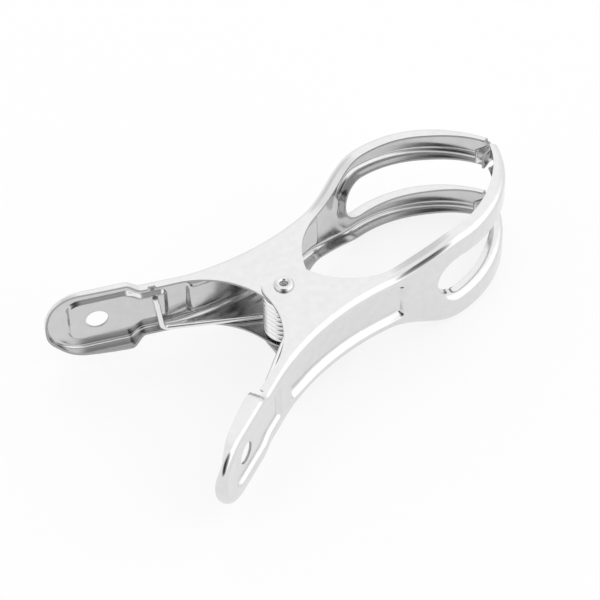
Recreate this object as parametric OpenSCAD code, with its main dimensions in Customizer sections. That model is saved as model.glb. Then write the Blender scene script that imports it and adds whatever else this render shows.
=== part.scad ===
// Clothespin of stamped sheet steel: two levers, a torsion spring and a tubular rivet.
// The origin is on the rivet's axis at mid width, +X points to the jaws, +Z runs along the rivet.
// A point of a lever is given by its distance from the nose along the sheet's outer face, its height z
// and its depth below that face.

/* [Sheet] */
// Thickness of the sheet
sheet = 0.6; // [0.5:0.05:0.7]
// Outer radius of the folds along the edges
fold_radius = 1.5; // [1.3:0.1:1.7]
// Depth of the folded edges below the outer face
edge_depth = 3.6; // [3.2:0.1:4]
// Depth of the folded edges along the neck, between the cheeks and the pad
neck_edge = 2.8; // [2.6:0.1:3.2]
// Depth of the pad's folded edge on the side of the spring's elbow
hook_edge = 4.4; // [4:0.1:4.8]
// Depth of the pad's folded edge on the side of the spring's tip
tip_edge = 2.4; // [2.2:0.1:2.8]
// Depth of the folded edge at the pad's corners
corner_edge = 1.9; // [1.85:0.05:2.2]
// Depth of the folded edge across the pad's end
end_edge = 2.7; // [2.4:0.1:3.2]
// Depth of the folded edges at the nose
nose_edge = 2.4; // [2.3:0.1:3]

/* [Side curve] */
// Reach from the rivet to the nose
jaw_reach = 69; // [67:0.5:71]
// Gap between the two closed noses
nose_gap = 0.3; // [0.2:0.05:0.5]
// Radius of the fold at the nose
nose_radius = 1.2; // [1.1:0.05:1.4]
// Angle between sheet and mouth at the nose
nose_angle = 66; // [64:0.5:68]
// Length of the gripping lip behind the nose
lip_length = 3.4; // [2.6:0.2:4.4]
// Angle between the gripping lip and the mouth
lip_angle = 15; // [10:1:20]
// Radius of the jaw's bulge
jaw_radius = 31.6; // [30.6:0.2:32.6]
// Turn of the jaw's bulge
jaw_turn = 82; // [80:0.5:84]
// Straight stretch between the bulge and the waist
bulge_to_waist = 3; // [2:0.5:4]
// Radius of the waist's hollow
waist_radius = 70; // [66:1:74]
// Turn of the waist's hollow
waist_turn = 41; // [39:0.5:43]
// Straight length of the handle
handle_length = 29.5; // [28:0.5:31]

/* [Widths] */
// Width of the jaw
jaw_width = 28.6; // [27.6:0.2:30]
// Width at the nose
nose_width = 27; // [26:0.2:28]
// Length of the taper from the nose to the jaw's full width
nose_taper = 27; // [25:0.5:29]
// Length of the flare from the waist to the jaw
flare_length = 20.5; // [19:0.5:22]
// Distance of the flare's wide end from the nose
flare_end = 37; // [35:0.5:39]
// Width of the inner lever's waist
waist_width = 16; // [15.6:0.1:17]
// Width of the finger pad
pad_width = 20.2; // [19.6:0.2:22]
// Length of the finger pad up to its step
pad_length = 20.5; // [19.5:0.5:21.5]
// Length of the step from the pad to the waist
pad_step = 4; // [3.5:0.5:5]
// Corner radius of the pad
pad_corner = 9.5; // [8.5:0.25:9.5]
// Distance of the outer lever's edge slit from the end of the handle
slit_from_end = 24.2; // [23.5:0.1:25]
// Width of the slit in the outer lever's folded edge
slit_width = 1.1; // [0.8:0.1:1.6]
// Distance of the notch for the spring's tip from the end of the handle
notch_from_end = 26.9; // [26.5:0.1:28]
// Width of that notch in the folded edge
notch_width = 1.7; // [1.6:0.1:2]
// Depth of the folded edge at that notch
notch_floor = 2.1; // [1.9:0.1:2.4]
// Bore of the hole in the pad
hole_d = 5.6; // [4:0.2:6]
// Distance of the hole from the end of the handle
hole_from_end = 13; // [11.5:0.5:13.5]

/* [Fork] */
// Distance of the slot's round root centre from the nose
slot_length = 36.7; // [35:0.5:38]
// Width of the slot at its root
slot_root_width = 13; // [12:0.2:14]
// Width of the slot at the nose
slot_nose_width = 9.6; // [9:0.2:10.2]
// Depth of the slot's folded edge
slot_edge = 3.6; // [3.2:0.1:4]
// Outer radius of the fold round the slot
slot_fold = 2.2; // [2:0.1:2.3]

/* [Cheeks] */
// Radius of the round end of a cheek
lobe_radius = 6.5; // [6:0.1:7]
// Offset of that round end from the rivet towards the jaw
lobe_offset = 0.9; // [0.4:0.1:1.4]
// Radius of a cheek's hollow towards the handle
handle_hollow = 22; // [21:0.5:23]
// Radius of a cheek's hollow towards the jaw
jaw_hollow = 20.5; // [19:0.5:22]
// Gap between the lapping cheeks
cheek_gap = 0.1; // [0.08:0.01:0.15]

/* [Panels] */
// Depth of the pressed panels
panel_depth = 0.8; // [0.5:0.1:0.9]
// Width of a pressed panel's sloping border
panel_slope = 0.8; // [0.6:0.1:1]
// Distance of the handle panel from the lever's edges
panel_margin = 4.6; // [4.3:0.1:4.8]
// Distance of the handle panel from the end of the handle
panel_from_end = 5.5; // [5:0.5:6]
// Corner radius of the handle panel towards the end of the handle
panel_corner = 4; // [3:0.5:4.5]
// Distance of the waist panel from the end of the handle
waist_panel_from_end = 35.2; // [34.5:0.1:36]
// Length of the waist panel
waist_panel_length = 40.2; // [39:0.2:41]
// Width of the plain band between the two panels
panel_band = 4.2; // [3.6:0.2:5]
// Width of the waist panel in its middle
panel_mid_width = 11; // [10.4:0.2:11.2]
// Width of the waist panel at its ends
panel_end_width = 8; // [7:0.2:9]

/* [Spring] */
// Wire diameter
wire_d = 1.5; // [1.3:0.1:1.6]
// Mean radius of the coil
coil_radius = 4.7; // [4.2:0.1:5]
// Whole turns of the coil between the legs
coil_turns = 6; // [5:1:6]
// Rise of one turn
coil_pitch = 1.95; // [1.93:0.01:1.98]
// Distance of a leg's tip from the end of the handle
leg_from_end = 27.5; // [26.5:0.5:28.5]
// Drop of a leg from the coil to its elbow
leg_drop = 0.4; // [0.2:0.05:0.45]
// Lean of a leg's end across the lever
leg_lean = 1.1; // [0.6:0.1:2]
// Depth of a leg's end below the lever's outer face
leg_depth = 2.8; // [2.5:0.1:3.2]
// Height of a leg's tip above mid width
leg_tip = 4.3; // [3:0.1:5]
// Radius of a leg's elbow
elbow_radius = 1.6; // [1.4:0.1:2]

/* [Rivet] */
// Outer diameter of the rivet's tube
rivet_d = 3; // [2.6:0.1:3.2]
// Bore of the rivet's tube
rivet_bore = 1.8; // [1.6:0.1:2]
// Diameter of the rolled heads
head_d = 5; // [4.6:0.1:5.4]
// Radial play between the rivet and the inner lever
tight_play = 0.03; // [0.02:0.01:0.04]
// Radial play between the rivet and the outer lever
turning_play = 0.05; // [0.04:0.01:0.08]
// Gap between a rolled head and the cheek below it
head_gap = 0.06; // [0.05:0.01:0.1]

/* [Hidden] */
steel_color = "#c9ccd0";
wire_color = "#b9bdc2";
rivet_color = "#a9adb2";

round_facets = 48;
coil_facets = 8;
wire_sides = 6;

// Steps along the stretches of a lever's skin
hollow_steps = 8;
lobe_steps = 12;
flare_steps = 4;
neck_steps = 2;
pad_steps = 6;
corner_steps = 6;
panel_steps = 4;
root_steps = 5;
prong_steps = 12;
nose_steps = 5;
least_step = 0.03;
// Least flat stretch beside a fold
least_flat = 0.1;

// Runs of the side curve from the lip's free edge to the end of the handle: [length, curvature]
nose_turn = 180 - nose_angle + lip_angle;
nose_start = lip_length + nose_turn * PI / 180 * nose_radius;
jaw_length = jaw_turn * PI / 180 * jaw_radius;
waist_length = waist_turn * PI / 180 * waist_radius;
side_runs = [
    [lip_length, 0],
    [nose_start - lip_length, 1 / nose_radius],
    [jaw_length, 1 / jaw_radius],
    [bulge_to_waist, 0],
    [waist_length, -1 / waist_radius],
    [handle_length, 0]
];
waist_start = jaw_length + bulge_to_waist;
lever_end = waist_start + waist_length + handle_length;
lip_start = [
    jaw_reach - nose_radius - nose_radius * sin(lip_angle) - lip_length * cos(lip_angle),
    nose_gap / 2 + nose_radius - nose_radius * cos(lip_angle) + lip_length * sin(lip_angle),
    -lip_angle
];

// Degrees of the folds at which their cross section has a point
fold_angles = [30, 60, 90];
corner_start = lever_end - pad_corner;
step_start = lever_end - pad_length - pad_step;
slit_floor = fold_radius + least_flat;
cut_flank = 0.2;

// Forms of the levers' halves: [half width of the waist, place, width and floor of the cut in the folded
// edge, depth of the pad's edge, where that depth begins and the stretch over which it is reached]
inner_waist = waist_width / 2;
outer_waist = inner_waist + sheet + cheek_gap;
slit_place = lever_end - slit_from_end;
notch_place = lever_end - notch_from_end;
inner_tip_half = [inner_waist, notch_place, notch_width, notch_floor, tip_edge, step_start, pad_step];
inner_hook_half = [inner_waist, notch_place, notch_width, neck_edge, hook_edge, step_start, pad_step];
outer_tip_half = [outer_waist, notch_place, notch_width, notch_floor, tip_edge, step_start, pad_step];
outer_hook_half = [outer_waist, slit_place, slit_width, slit_floor, hook_edge, slit_place, slit_width / 2];
// Stretch from the nose over which the folded edges reach their full depth
rim_taper = slot_length / 2;

function soft(k) = let (c = min(max(k, 0), 1)) c * c * (3 - 2 * c);
function part_of(k) = min(max(k, 0), 1);

// Pose [x, y, heading] after a run of a length along a line or an arc
function run(pose, length, curve) =
    let (turn = length * curve * 180 / PI)
    curve == 0
    ? [pose[0] + length * cos(pose[2]), pose[1] + length * sin(pose[2]), pose[2]]
    : [
        pose[0] + (sin(pose[2] + turn) - sin(pose[2])) / curve,
        pose[1] - (cos(pose[2] + turn) - cos(pose[2])) / curve,
        pose[2] + turn
    ];
function pose_along(length, pose, i) =
    i == len(side_runs) - 1 || length <= side_runs[i][0]
    ? run(pose, length, side_runs[i][1])
    : pose_along(length - side_runs[i][0], run(pose, side_runs[i][0], side_runs[i][1]), i + 1);
function side_pose(u) = pose_along(u + nose_start, lip_start, 0);
function at(u, z, depth) =
    let (pose = side_pose(u))
    [pose[0] - depth * sin(pose[2]), pose[1] + depth * cos(pose[2]), z];

function half_width(u, form) =
    form[0]
    + (jaw_width / 2 - form[0]) * soft((flare_end + flare_length - u) / flare_length)
    + (nose_width - jaw_width) / 2 * soft((nose_taper - u) / nose_taper)
    + (pad_width / 2 - form[0]) * soft((u - lever_end + pad_length + pad_step) / pad_step);

// Outline of a cheek: a round lobe at the rivet and a hollow on each side that runs into the folded edge
waist_pose = side_pose(waist_start);
hub = [
    waist_pose[0] + waist_radius * sin(waist_pose[2]),
    waist_pose[1] - waist_radius * cos(waist_pose[2])
];
lobe = [lobe_offset, lobe_offset / 2];
function bearing(from, to) = atan2(to[1] - from[1], to[0] - from[0]);
function hollow_centre(hollow, rim, side) =
    let (
        span = norm(lobe - hub),
        reach = waist_radius + rim + hollow,
        arm = lobe_radius + hollow,
        k = (reach * reach - arm * arm + span * span) / (2 * span),
        h = side * sqrt(reach * reach - k * k),
        e = (lobe - hub) / span
    )
    [hub[0] + k * e[0] - h * e[1], hub[1] + k * e[1] + h * e[0]];
handle_centre = hollow_centre(handle_hollow, neck_edge, -1);
jaw_centre = hollow_centre(jaw_hollow, edge_depth, 1);
function arc(c, r, from, to, n) = [
    for (i = [0 : n])
        let (a = from + (to - from) * i / n)
        c + r * [cos(a), sin(a)]
];
function hollow_arc(c, r, from, to) = arc(c, r, bearing(c, from), bearing(c, to), hollow_steps);
lobe_from = bearing(lobe, jaw_centre);
lobe_sweep = (lobe_from - bearing(lobe, handle_centre) + 360) % 360;
cheek_outline = concat(
    hollow_arc(jaw_centre, jaw_hollow, hub, lobe),
    arc(lobe, lobe_radius, lobe_from, lobe_from - lobe_sweep, lobe_steps),
    hollow_arc(handle_centre, handle_hollow, lobe, hub)
);
// The same outline as [distance along the side curve, depth below the outer face]
cheek_table = [
    for (p = cheek_outline)
        let (
            heading = atan2(hub[0] - p[0], p[1] - hub[1]),
            turned = waist_pose[2] - (heading < 0 ? heading + 360 : heading)
        )
        [waist_start + turned * PI / 180 * waist_radius, norm(p - hub) - waist_radius]
];
cheek_start = cheek_table[0][0];
cheek_end = cheek_table[len(cheek_table) - 1][0];

// Pressed panels as [start, end]: one along the handle and one along the waist
waist_panel_end = lever_end - waist_panel_from_end;
waist_panel = [waist_panel_end - waist_panel_length, waist_panel_end];
handle_panel = [waist_panel_end + panel_band, lever_end - panel_from_end];
function pressed(u, panel) =
    panel_depth * part_of((u - panel[0]) / panel_slope) * part_of((panel[1] - u) / panel_slope);
function handle_panel_half(u, form) =
    let (
        into_corner = min(max(u - handle_panel[1] + panel_corner, 0), panel_corner),
        drawn_in = panel_corner - sqrt(panel_corner * panel_corner - into_corner * into_corner)
    )
    half_width(u, form) - panel_margin - drawn_in;
function waist_panel_half(u) =
    let (k = min(abs(2 * (u - waist_panel_end) / waist_panel_length + 1), 1))
    (panel_mid_width - (panel_mid_width - panel_end_width) * k * k) / 2;
function panel_half(u, top, form) =
    min(
        u > waist_panel_end ? handle_panel_half(u, form) : waist_panel_half(u),
        max(top - panel_slope - least_flat, top / web_last)
    );

// Depth of the folded edge's rim: deep at the cheeks, shallow at the neck and round the pad's corners
mid_corner = 45;
function pad_rim(u, turn, form) =
    let (
        along = u - form[5] + turn * PI / 180 * pad_corner,
        whole = corner_start - form[5] + mid_corner * PI / 180 * pad_corner,
        k = part_of(along / whole)
    )
    corner_edge + (form[4] - corner_edge) * (1 - k * k);
function edge_depth_at(u, turn, form) =
    u < cheek_start ? nose_edge + (edge_depth - nose_edge) * soft(u / rim_taper) :
    u < cheek_end ? lookup(u, cheek_table) :
    turn > mid_corner ? corner_edge + (end_edge - corner_edge) * soft(turn / mid_corner - 1) :
    let (
        full = neck_edge + (pad_rim(u, turn, form) - neck_edge) * soft((u - form[5]) / form[6]),
        from_cut = abs(u - form[1]) - form[2] / 2
    )
    full - (full - form[3]) * part_of(1 - from_cut / cut_flank);

// Cross section of a fold as [distance from the edge, depth], from the flat sheet to the free edge
function fold_section(radius, depth, skin) = concat(
    [[radius, skin]],
    [for (a = fold_angles) [radius - (radius - skin) * sin(a), radius - (radius - skin) * cos(a)]],
    [[skin, depth]]
);

// Place [u, z] at a distance inside the lever's edge, where turn counts the degrees round the pad's corner
function inside_edge(u, turn, form, o) =
    turn == 0
    ? [u, half_width(u, form) - o]
    : [
        corner_start + (pad_corner - o) * sin(turn),
        pad_width / 2 - pad_corner + (pad_corner - o) * cos(turn)
    ];
// Heights across the web: mid width, the panel's flat and border, and the fold
function web_heights(u, turn, form) =
    let (
        place = inside_edge(u, turn, form, fold_radius),
        panel = panel_half(place[0], place[1], form)
    )
    [0, panel, panel + min(panel_slope, (place[1] - panel) / 2), place[1]];
web_last = 3;
function edge_line(u, turn, form, skin) = [
    for (q = fold_section(fold_radius, edge_depth_at(u, turn, form), skin))
        let (p = inside_edge(u, turn, form, q[0]))
        at(p[0], p[1], q[1])
];
function cross_line(u, turn, form, skin) =
    let (
        row = inside_edge(u, turn, form, fold_radius)[0],
        dent = pressed(row, handle_panel) + pressed(row, waist_panel),
        z = web_heights(u, turn, form)
    )
    concat(
        [at(row, z[0], skin + dent), at(row, z[1], skin + dent), at(row, z[2], skin)],
        edge_line(u, turn, form, skin)
    );

function sorted(v) =
    len(v) < 2
    ? v
    : let (p = v[floor(len(v) / 2)])
      concat(sorted([for (x = v) if (x < p) x]), [p], sorted([for (x = v) if (x > p) x]));
function spaced(v) = [for (i = [0 : len(v) - 1]) if (i == 0 || v[i] - v[i - 1] > least_step) v[i]];
function spread(from, to, n) = [for (i = [0 : n]) from + (to - from) * i / n];
function reversed(v) = [for (i = [len(v) - 1 : -1 : 0]) v[i]];

// Stations of the cross lines between the fork and the pad's corners
fork_land = 2;
fork_line = slot_length + slot_root_width / 2 + slot_fold + fork_land;
corner_inside = pad_corner - fold_radius;
panel_arc = [
    for (a = spread(90 / panel_steps, 90, panel_steps - 1))
        handle_panel[1] - panel_corner * (1 - sin(a))
];
function cut_sides(form) = [
    for (side = [-1, 1])
        for (wide = [0, cut_flank])
            form[1] + side * (form[2] / 2 + wide)
];
function stations(halves) = spaced(sorted(concat(
    spread(fork_line, cheek_start, flare_steps),
    [for (c = cheek_table) c[0]],
    spread(cheek_end, lever_end - handle_length, neck_steps),
    [for (p = [waist_panel, handle_panel]) each [p[0], p[0] + panel_slope]],
    [waist_panel_end - panel_slope, waist_panel_end],
    [for (form = halves) each cut_sides(form)],
    spread(step_start, step_start + pad_step, pad_steps),
    [handle_panel[1] - panel_corner],
    [for (u = panel_arc) if (u < corner_start) u],
    [lever_end - hole_from_end, corner_start]
)));
function turn_of(u) = asin((u - corner_start) / corner_inside);
panel_turns = [
    for (u = concat(panel_arc, [handle_panel[1] - panel_slope]))
        if (u > corner_start) turn_of(u)
];
turns = spaced(sorted(concat(panel_turns, spread(turn_of(handle_panel[1]), 90, corner_steps))));

// Lines of the fork from the slot's free edge to the lever's edge: [u, z, degrees round the slot's root]
function slot_half(u) = (slot_nose_width + (slot_root_width - slot_nose_width) * u / slot_length) / 2;
fork_rows = concat(
    [for (i = [1 : root_steps]) fork_line - (fork_line - slot_length) * i / root_steps],
    [for (i = [1 : prong_steps]) slot_length * (1 - i / prong_steps)]
);
function fork_lines(form) = concat(
    [for (z = web_heights(fork_line, 0, form)) [fork_line, z, atan2(z, fork_line - slot_length)]],
    [
        for (u = fork_rows)
            let (z = inside_edge(u, 0, form, fold_radius)[1])
            [u, z, u > slot_length ? atan2(z, u - slot_length) : 90]
    ]
);
function beside_slot(u, turn, o) =
    turn < 90
    ? [slot_length + (slot_half(slot_length) + o) * cos(turn), (slot_half(slot_length) + o) * sin(turn)]
    : [u, slot_half(u) + o];
function slot_depth_at(u) = nose_edge + (slot_edge - nose_edge) * soft(u / rim_taper);
function fork_line_points(line, skin) = concat(
    [
        for (q = reversed(fold_section(slot_fold, slot_depth_at(line[0]), skin)))
            let (p = beside_slot(line[0], line[2], q[0]))
            at(p[0], p[1], q[1])
    ],
    [at(line[0], line[1], skin)]
);

// A skin is a list of triangles, each a list of three points
function strip(a, b) = [
    for (i = [0 : len(a) - 2])
        each [[a[i], a[i + 1], b[i + 1]], [a[i], b[i + 1], b[i]]]
];
function lattice(rows) = [for (i = [0 : len(rows) - 2]) each strip(rows[i], rows[i + 1])];
function flipped(triangles) = [for (t = triangles) [t[2], t[1], t[0]]];
function column(rows, j) = [for (r = rows) r[j]];
function below(p) = [p[0], p[1], p[2] == 0 ? 0 : -p[2]];

// One half of a lever's skin, above mid width, with the cross lines that both halves need
function lever_half(form, halves) =
    let (
        skins = [0, sheet],
        rim = 1 + len(fold_angles),
        long_rows = [
            for (skin = skins)
                concat(
                    [for (u = stations(halves)) cross_line(u, 0, form, skin)],
                    [for (turn = turns) cross_line(corner_start, turn, form, skin)]
                )
        ],
        last = len(long_rows[0]) - 1,
        end_heights = web_heights(corner_start, 90, form),
        end_rows = [
            for (k = [0, 1])
                let (fold = fold_section(fold_radius, end_edge, skins[k]))
                [
                    for (l = [0 : len(fold) - 1])
                        [
                            for (j = [0 : web_last])
                                j == web_last || l == 0
                                ? long_rows[k][last][j == web_last ? j + l : j]
                                : at(lever_end - fold[l][0], end_heights[j], fold[l][1])
                        ]
                ]
        ],
        jaw_rows = [
            for (skin = skins)
                [for (u = reversed(concat([fork_line], fork_rows))) edge_line(u, 0, form, skin)]
        ],
        lines = reversed(fork_lines(form)),
        slot_rows = [for (skin = skins) [for (line = lines) fork_line_points(line, skin)]],
        lip_rows = [
            for (skin = skins)
                [
                    for (u = concat([-nose_start], spread(lip_length - nose_start, 0, nose_steps)))
                        [at(u, beside_slot(0, 90, slot_fold)[1], skin), at(u, lines[0][1], skin)]
                ]
        ],
        grids = [long_rows, end_rows, jaw_rows, slot_rows, lip_rows]
    )
    concat(
        [for (g = grids) each lattice(g[0])],
        [for (g = grids) each flipped(lattice(g[1]))],
        strip(column(long_rows[1], web_last + rim), column(long_rows[0], web_last + rim)),
        strip(reversed(end_rows[1][rim]), reversed(end_rows[0][rim])),
        strip(column(jaw_rows[1], rim), column(jaw_rows[0], rim)),
        strip(jaw_rows[1][0], jaw_rows[0][0]),
        strip(column(slot_rows[0], 0), column(slot_rows[1], 0)),
        strip([for (i = [0 : rim]) slot_rows[1][0][i]], [for (i = [0 : rim]) slot_rows[0][0][i]]),
        strip(column(lip_rows[0], 0), column(lip_rows[1], 0)),
        strip(column(lip_rows[1], 1), column(lip_rows[0], 1)),
        strip(lip_rows[1][0], lip_rows[0][0])
    );

module skin_of(triangles) {
    polyhedron(
        points = [for (t = triangles) each t],
        faces = [for (i = [0 : len(triangles) - 1]) [3 * i, 3 * i + 1, 3 * i + 2]],
        convexity = 10
    );
}

module lever(halves) {
    upper = lever_half(halves[0], halves);
    lower = lever_half(halves[1], halves);
    skin_of(concat(upper, flipped([for (t = lower) [for (p = t) below(p)]])));
}

// Lengths of the cutters for the rivet's bore and the pad's hole
bore_cutter = 4 * outer_waist;
hole_cutter = 2 * edge_depth;

module lever_with_bores(halves, play) {
    hole = side_pose(lever_end - hole_from_end);
    difference() {
        lever(halves);
        cylinder(h = bore_cutter, d = rivet_d + 2 * play, center = true, $fn = round_facets);
        translate([hole[0], hole[1], 0])
            rotate([0, 90, hole[2] + 90])
                cylinder(h = hole_cutter, d = hole_d, center = true, $fn = round_facets);
    }
}

// Centre line of the spring: the inner lever's leg, the coil, and the outer lever's leg turned over
elbow = at(lever_end - leg_from_end - leg_lean, 0, leg_depth);
leg_end = at(lever_end - leg_from_end, 0, leg_depth);
leg_angle = atan2(elbow[1], elbow[0]) - acos(coil_radius / norm(elbow));
coil_sweep = 360 * coil_turns + 2 * leg_angle;
coil_rings = ceil(coil_facets * coil_sweep / 360);
coil_z = coil_pitch * coil_sweep / 720;
function unit(v) = v / norm(v);
function coil_point(i) =
    let (a = leg_angle - coil_sweep * i / coil_rings)
    [coil_radius * cos(a), coil_radius * sin(a), coil_z * (2 * i / coil_rings - 1)];
leg_points =
    let (
        tip = leg_end + [0, 0, leg_tip],
        straight = tip - [0, 0, 2 * wire_d],
        corner = elbow - [0, 0, coil_z + leg_drop],
        to_tip = unit(straight - corner) * elbow_radius,
        to_coil = unit(coil_point(0) - corner) * elbow_radius
    )
    [tip, straight, corner + to_tip, corner + (to_tip + to_coil) * (1 - sqrt(0.5)), corner + to_coil];
function turned_over(p) = [p[0], -p[1], -p[2]];
spine = concat(
    leg_points,
    [for (i = [0 : coil_rings]) coil_point(i)],
    [for (p = reversed(leg_points)) turned_over(p)]
);
spine_last = len(spine) - 1;
function heading_at(i) = unit(spine[min(i + 1, spine_last)] - spine[max(i - 1, 0)]);
function upright(v, along) = unit(v - (v * along) * along);
function next_axis(v, i) = upright(v, heading_at(min(i, spine_last)));
ring_axes = [
    for (i = 0, v = next_axis([1, 0, 0], 0); i <= spine_last; i = i + 1, v = next_axis(v, i)) v
];
function wire_ring(i) = [
    for (k = [0 : wire_sides])
        let (
            a = 360 * (k % wire_sides) / wire_sides,
            side = ring_axes[i]
        )
        spine[i] + wire_d / 2 * (side * cos(a) + cross(heading_at(i), side) * sin(a))
];
spring_gap = min([
    for (i = [0 : spine_last])
        for (k = [i + coil_facets - 1 : 1 : spine_last])
            norm(spine[i] - spine[k]) - wire_d
]);
echo(str("Least gap of the spring to itself: ", spring_gap));

// Rolled heads: rings cut off at their seats, each centre lifted by a share of the ring's radius
head_seat = outer_waist + head_gap;
head_ring = (head_d - rivet_bore) / 4;
head_crown = 0.2;
head_lift = head_crown * head_ring;

module inner_lever() {
    color(steel_color)
        lever_with_bores([inner_tip_half, inner_hook_half], tight_play);
}

module outer_lever() {
    color(steel_color)
        mirror([0, 1, 0])
            lever_with_bores([outer_hook_half, outer_tip_half], turning_play);
}

module torsion_spring() {
    rings = [for (i = [0 : spine_last]) wire_ring(i)];
    caps = [
        for (k = [1 : wire_sides - 2])
            each [
                [rings[0][0], rings[0][k], rings[0][k + 1]],
                [rings[spine_last][0], rings[spine_last][k + 1], rings[spine_last][k]]
            ]
    ];
    color(wire_color)
        skin_of(concat(flipped(lattice(rings)), caps));
}

module pivot_rivet() {
    color(rivet_color)
        rotate_extrude($fn = round_facets) {
            translate([rivet_bore / 2, -head_seat - head_lift])
                square([(rivet_d - rivet_bore) / 2, 2 * (head_seat + head_lift)]);
            for (side = [-1, 1])
                intersection() {
                    translate([(rivet_bore + head_d) / 4, side * (head_seat + head_lift)])
                        circle(head_ring, $fn = round_facets);
                    translate([0, side > 0 ? head_seat : -head_seat - 2 * head_ring])
                        square([head_d, 2 * head_ring]);
                }
        }
}

inner_lever();
outer_lever();
torsion_spring();
pivot_rivet();
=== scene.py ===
"""Clothespin of stamped stainless sheet: two levers, a torsion spring and a tubular rivet, on a pale floor."""

import math
from bisect import bisect_right
from typing import NamedTuple

import bmesh
import bpy
from bpy.props import FloatProperty, FloatVectorProperty, IntProperty, PointerProperty
from mathutils import Matrix, Vector


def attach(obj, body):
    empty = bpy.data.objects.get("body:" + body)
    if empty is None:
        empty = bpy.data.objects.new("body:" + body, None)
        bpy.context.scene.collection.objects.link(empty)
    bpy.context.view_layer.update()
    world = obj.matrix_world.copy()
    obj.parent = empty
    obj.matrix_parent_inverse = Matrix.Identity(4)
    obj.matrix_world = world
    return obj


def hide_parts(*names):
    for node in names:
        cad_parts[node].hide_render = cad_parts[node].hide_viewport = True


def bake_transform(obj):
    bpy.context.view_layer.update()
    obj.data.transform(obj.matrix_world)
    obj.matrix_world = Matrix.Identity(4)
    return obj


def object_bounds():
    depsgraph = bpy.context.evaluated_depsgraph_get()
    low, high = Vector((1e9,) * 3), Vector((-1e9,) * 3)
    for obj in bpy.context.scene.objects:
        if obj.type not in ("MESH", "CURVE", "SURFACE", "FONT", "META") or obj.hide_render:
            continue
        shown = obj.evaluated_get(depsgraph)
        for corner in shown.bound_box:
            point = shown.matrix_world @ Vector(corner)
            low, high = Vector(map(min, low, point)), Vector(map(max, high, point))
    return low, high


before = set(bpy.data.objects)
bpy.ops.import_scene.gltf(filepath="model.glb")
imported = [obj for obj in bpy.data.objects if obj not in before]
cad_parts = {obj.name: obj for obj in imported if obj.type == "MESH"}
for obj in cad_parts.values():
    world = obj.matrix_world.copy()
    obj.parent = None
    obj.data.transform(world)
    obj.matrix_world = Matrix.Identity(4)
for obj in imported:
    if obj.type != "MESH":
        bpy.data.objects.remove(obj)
cad_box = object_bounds()

bl_info = {
    "name": "Stamped clothespin",
    "version": (1, 0, 0),
    "blender": (4, 5, 0),
    "location": "View3D > Sidebar > Clothespin",
    "description": "Builds a spring clothespin of bright stamped sheet on the packed frame",
    "category": "Add Mesh",
}

MM = 0.001
# Points nearer than this are one
WELD = 1e-6


def linear(code):
    """Linear red, green, blue and alpha of an sRGB hex colour."""
    parts = [int(code[i:i + 2], 16) / 255 for i in (1, 3, 5)]
    return [c / 12.92 if c <= 0.04045 else ((c + 0.055) / 1.055) ** 2.4 for c in parts] + [1.0]


def length_prop(name, description, size):
    """A length that a user would change, given in millimetres."""
    return FloatProperty(name=name, description=description, default=size * MM, unit="LENGTH")


def angle_prop(name, description, degrees):
    """An angle that a user would change."""
    return FloatProperty(name=name, description=description, default=math.radians(degrees), subtype="ANGLE")


def colour_prop(name, description, code):
    """A colour that a user would change, given as an sRGB hex value."""
    return FloatVectorProperty(
        name=name, description=description, default=linear(code), subtype="COLOR", size=4)


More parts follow.
